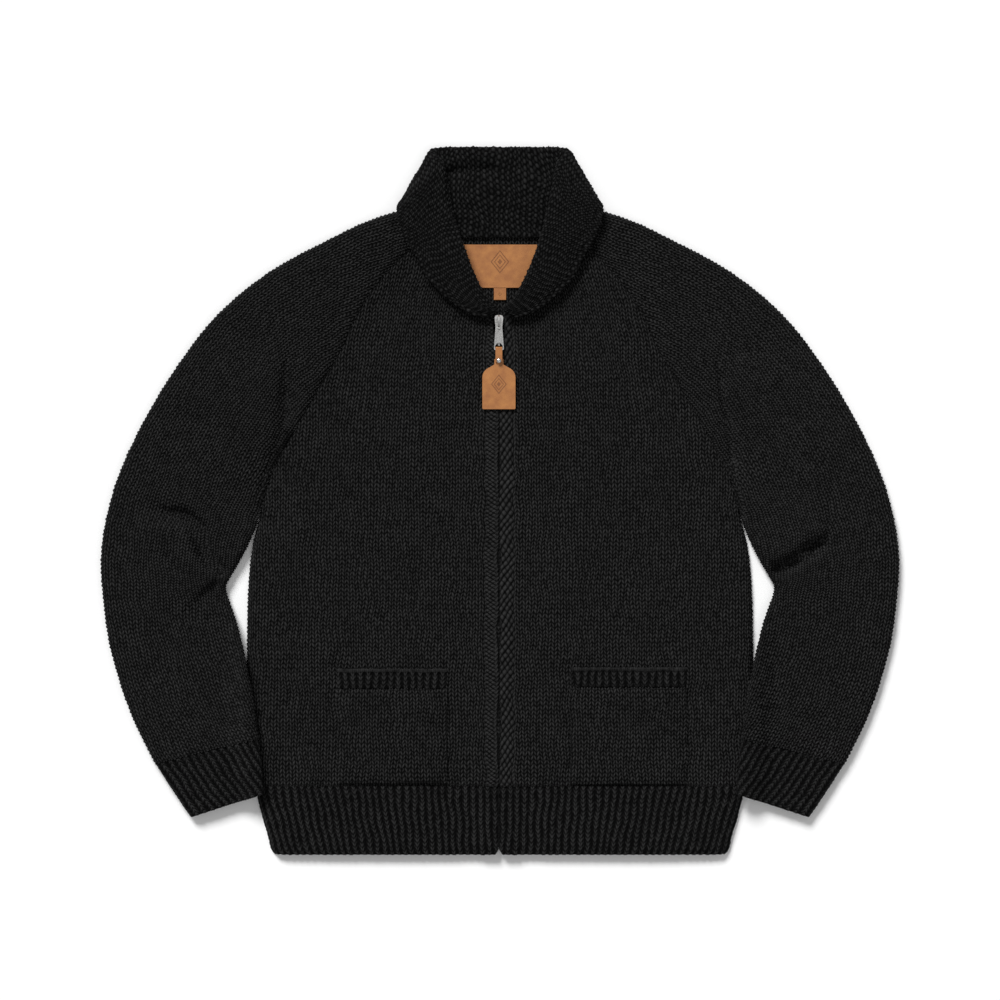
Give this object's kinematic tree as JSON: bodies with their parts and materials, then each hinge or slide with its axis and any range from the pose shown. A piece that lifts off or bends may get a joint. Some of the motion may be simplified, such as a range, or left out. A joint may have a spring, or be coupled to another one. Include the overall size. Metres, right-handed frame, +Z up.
{
  "type": "cowichan cardigan",
  "caption": "Bulky hand-knit zip cardigan lying flat, with a shawl collar, raglan sleeves, patch pockets, ribbed hem and cuffs and a leather zip tag.",
  "frame": {"origin": "centre of the bounding box on the surface that the cardigan lies on", "axes": "+X across the body to the wearer's left, +Y from hem to collar, +Z up off the surface"},
  "size_m": [0.8766, 0.7791, 0.025],
  "materials": {
    "black_wool": "matte bulky stockinette, rib and garter stitch",
    "tan_leather": "smooth veg-tan with a soft sheen",
    "silver_metal": "polished nickel plate",
    "black_tape": "woven herringbone tape"
  },
  "bodies": {
    "garment": {"back": "black_wool", "hem_back": "black_wool", "front_left": "black_wool", "front_right": "black_wool", "hem_front_left": "black_wool", "hem_front_right": "black_wool", "sleeve_left": "black_wool", "sleeve_right": "black_wool", "cuff_left": "black_wool", "cuff_right": "black_wool", "collar": "black_wool", "pocket_left": "black_wool", "pocket_right": "black_wool", "pocket_band_left": "black_wool", "pocket_band_right": "black_wool", "neck_label": "tan_leather", "size_tab": "tan_leather", "zip_chain": "silver_metal", "zip_slider": "silver_metal", "zip_tape_left": "black_tape", "zip_tape_right": "black_tape"},
    "pull": {"pull_tab": "silver_metal", "pull_tag": "tan_leather", "tag_rivet": "silver_metal"}
  },
  "joints": [
    {"name": "pull_tab_hinge", "type": "hinge", "parent": "garment", "child": "pull", "pos_m": [-0.0012, 0.1985, 0.0124], "axis": [-1, 0, 0], "range_deg": [0, 120]}
  ]
}
